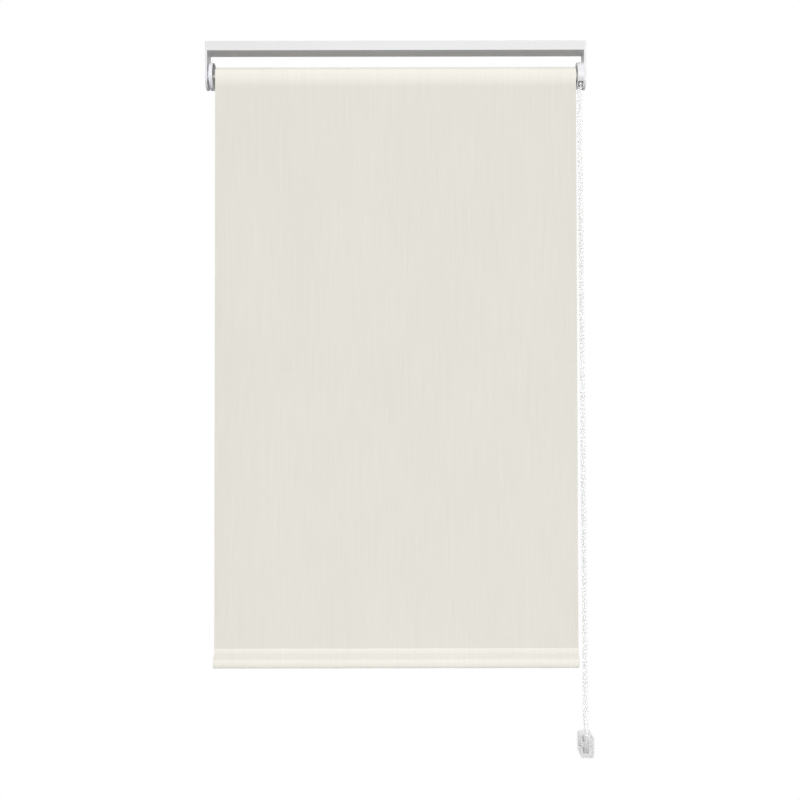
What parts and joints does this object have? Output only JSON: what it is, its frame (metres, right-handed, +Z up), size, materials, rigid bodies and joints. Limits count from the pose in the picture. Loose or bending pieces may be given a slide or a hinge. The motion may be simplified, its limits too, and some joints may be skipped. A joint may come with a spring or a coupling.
{
  "type": "roller blind",
  "caption": "Chain-operated roller blind with a head rail, end brackets, a roller with off-white fabric, a weighted hem bar, and an endless bead chain kept straight by a clear tensioner.",
  "frame": {"origin": "midway between the two wall screws of the rail clips, in the plane of the wall", "axes": "+Z up, +X to the right along the head rail, -Y away from the wall into the room"},
  "size_m": [0.5632, 0.0412, 1.0429],
  "materials": {
    "rail_paint": "satin white powder coat",
    "clip_steel": "zinc-plated spring steel",
    "cam_plastic": "moulded, fine grain",
    "bracket_plastic": "satin white moulded plastic",
    "disc_plastic": "satin white moulded plastic",
    "drive_plastic": "satin white moulded plastic",
    "dark_plastic": "grey moulded nylon, fine grain",
    "plug_plastic": "moulded nylon",
    "screw_steel": "zinc-plated",
    "pin_plastic": "white acetal",
    "spring_steel": "drawn spring wire",
    "tube_metal": "extruded, mill finish",
    "cloth": "plain woven polyester in a warm off-white",
    "bar_metal": "extruded, mill finish",
    "cap_plastic": "satin moulded plastic",
    "bead_plastic": "milky translucent beads on a cord",
    "clear_plastic": "clear polycarbonate"
  },
  "bodies": {
    "rail": {"head_rail": "rail_paint", "left_rail_clip": "clip_steel", "right_rail_clip": "clip_steel", "left_bracket": "bracket_plastic", "right_bracket": "bracket_plastic", "bracket_screws": "screw_steel", "idle_disc": "disc_plastic", "idle_disc_liner": "dark_plastic", "idle_disc_screws": "screw_steel", "drive_housing": "drive_plastic", "drive_screw": "screw_steel", "drive_cover": "drive_plastic", "drive_cover_plate": "dark_plastic"},
    "left_cam": {"left_clip_cam": "cam_plastic"},
    "right_cam": {"right_clip_cam": "cam_plastic"},
    "roller": {"roller_tube": "tube_metal", "fabric_roll": "cloth", "idle_plug": "plug_plastic", "drive_plug": "plug_plastic"},
    "pin": {"idle_pin": "pin_plastic", "pin_spring": "spring_steel"},
    "sprocket": {"chain_sprocket": "drive_plastic", "wrap_springs": "spring_steel"},
    "hem": {"hem_pocket": "cloth", "bottom_bar": "bar_metal", "left_hem_cap": "cap_plastic", "right_hem_cap": "cap_plastic", "fabric_panel": "cloth"},
    "chain": {"bead_chain": "bead_plastic", "tensioner_base": "clear_plastic", "tensioner_cover": "clear_plastic", "pulley_pin": "pin_plastic"},
    "pulley": {"tensioner_pulley": "pin_plastic"}
  },
  "joints": [
    {"name": "left_cam_turn", "type": "hinge", "parent": "rail", "child": "left_cam", "pos_m": [-0.208, -0.021, 0.005], "axis": [0, 0, 1], "range_deg": [0, 90]},
    {"name": "right_cam_turn", "type": "hinge", "parent": "rail", "child": "right_cam", "pos_m": [0.208, -0.021, 0.005], "axis": [0, 0, 1], "range_deg": [0, 90]},
    {"name": "roller_spin", "type": "hinge", "parent": "rail", "child": "roller", "pos_m": [0, -0.021, -0.041], "axis": [-1, 0, 0], "range_deg": [0, 3240]},
    {"name": "pin_press", "type": "slide", "parent": "roller", "child": "pin", "axis": [1, 0, 0], "range_m": [0, 0.0076], "stiffness_N_per_m": 500, "springref_m": -0.004},
    {"name": "sprocket_spin", "type": "hinge", "parent": "rail", "child": "sprocket", "pos_m": [0, -0.021, -0.041], "axis": [-1, 0, 0], "range_deg": [0, 3240]},
    {"name": "hem_lift", "type": "slide", "parent": "rail", "child": "hem", "axis": [0, 0, 1], "range_m": [0, 0.803], "deforming": ["fabric_panel"]},
    {"name": "chain_swing", "type": "hinge", "parent": "rail", "child": "chain", "pos_m": [0, -0.021, -0.041], "axis": [-1, 0, 0], "range_deg": [0, 3]},
    {"name": "pulley_spin", "type": "hinge", "parent": "chain", "child": "pulley", "pos_m": [0.2752, -0.021, -1.019], "axis": [-1, 0, 0], "range_deg": [0, 3240]}
  ],
  "couplings": [
    {"joint": "roller_spin", "follows": "hem_lift", "rad_per_m": 70.42},
    {"joint": "sprocket_spin", "follows": "hem_lift", "rad_per_m": 70.42},
    {"joint": "pulley_spin", "follows": "hem_lift", "rad_per_m": 70.42}
  ]
}
